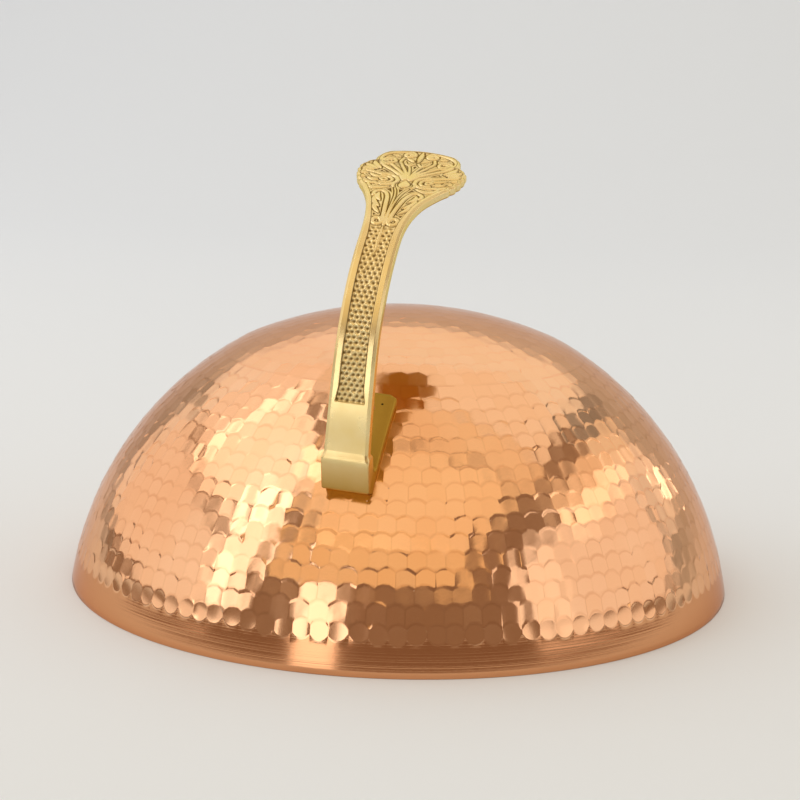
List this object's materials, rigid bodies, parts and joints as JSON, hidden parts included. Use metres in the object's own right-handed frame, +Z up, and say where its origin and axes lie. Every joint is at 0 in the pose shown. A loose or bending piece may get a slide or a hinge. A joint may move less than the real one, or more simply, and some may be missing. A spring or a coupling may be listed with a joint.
{
  "type": "domed lid",
  "caption": "Hammered copper dome lid for a buffet soup kettle or serving dish, lifted by a cast brass strap handle that curves back into a shell-shaped thumb plate.",
  "frame": {"origin": "centre of the rim, on the surface that the lid rests on", "axes": "+Z up along the dome's axis; the handle stands on the -Y side and its plate points back over the crown"},
  "size_m": [0.34, 0.34, 0.2237],
  "materials": {
    "hammered_copper": "hand hammered and polished copper sheet",
    "cast_brass": "cast, tumbled and polished on its raised parts",
    "rivet_copper": "hammered rivet head, lightly polished"
  },
  "bodies": {
    "root": {"dome_shell": "hammered_copper", "lift_handle": "cast_brass", "handle_rivet_upper": "rivet_copper", "handle_rivet_lower": "rivet_copper"}
  },
  "joints": []
}
